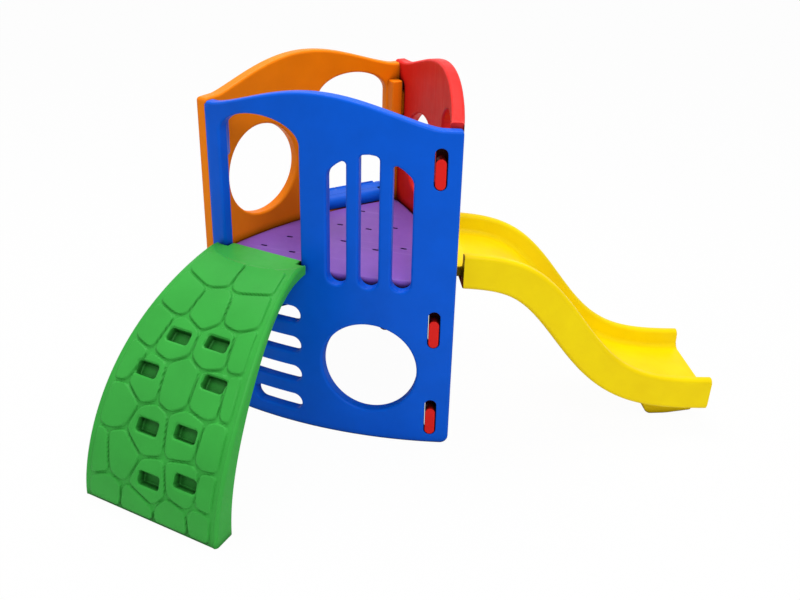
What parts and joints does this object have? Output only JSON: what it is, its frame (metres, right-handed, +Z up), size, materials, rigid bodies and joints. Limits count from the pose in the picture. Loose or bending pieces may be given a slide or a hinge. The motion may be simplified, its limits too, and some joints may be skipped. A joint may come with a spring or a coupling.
{
  "type": "modular climbing frame",
  "caption": "Triangular play tower of bowed, interlocking plastic walls round a deck, with a wavy slide and curved climbing ramps.",
  "frame": {"origin": "on the floor under the middle of the whole object's box", "axes": "+Z up; +X to the right as seen from the blue wall's side, towards the slide's end; +Y from the blue wall into the tower"},
  "size_m": [2.101, 1.927, 1.299],
  "materials": {
    "blue_plastic": "satin rotomoulded polyethylene with a fine orange-peel grain",
    "red_plastic": "satin rotomoulded polyethylene with a fine orange-peel grain",
    "orange_plastic": "satin rotomoulded polyethylene with a fine orange-peel grain",
    "purple_plastic": "satin rotomoulded polyethylene with a fine orange-peel grain",
    "green_plastic": "satin rotomoulded polyethylene with a fine orange-peel grain",
    "yellow_plastic": "satin rotomoulded polyethylene with a fine orange-peel grain"
  },
  "bodies": {
    "tower": {"blue_panel": "blue_plastic", "red_panel": "red_plastic", "orange_panel": "orange_plastic", "deck": "purple_plastic"},
    "green_ramp": {"green_ramp": "green_plastic"},
    "slide": {"slide": "yellow_plastic"},
    "rear_ramp": {"rear_ramp": "blue_plastic"}
  },
  "joints": [
    {"name": "green_ramp_lift", "type": "slide", "parent": "tower", "child": "green_ramp", "axis": [0, 0, 1], "range_m": [0, 0.1]},
    {"name": "slide_lift", "type": "slide", "parent": "tower", "child": "slide", "axis": [0, 0, 1], "range_m": [0, 0.1]},
    {"name": "rear_ramp_lift", "type": "slide", "parent": "tower", "child": "rear_ramp", "axis": [0, 0, 1], "range_m": [0, 0.1]}
  ]
}
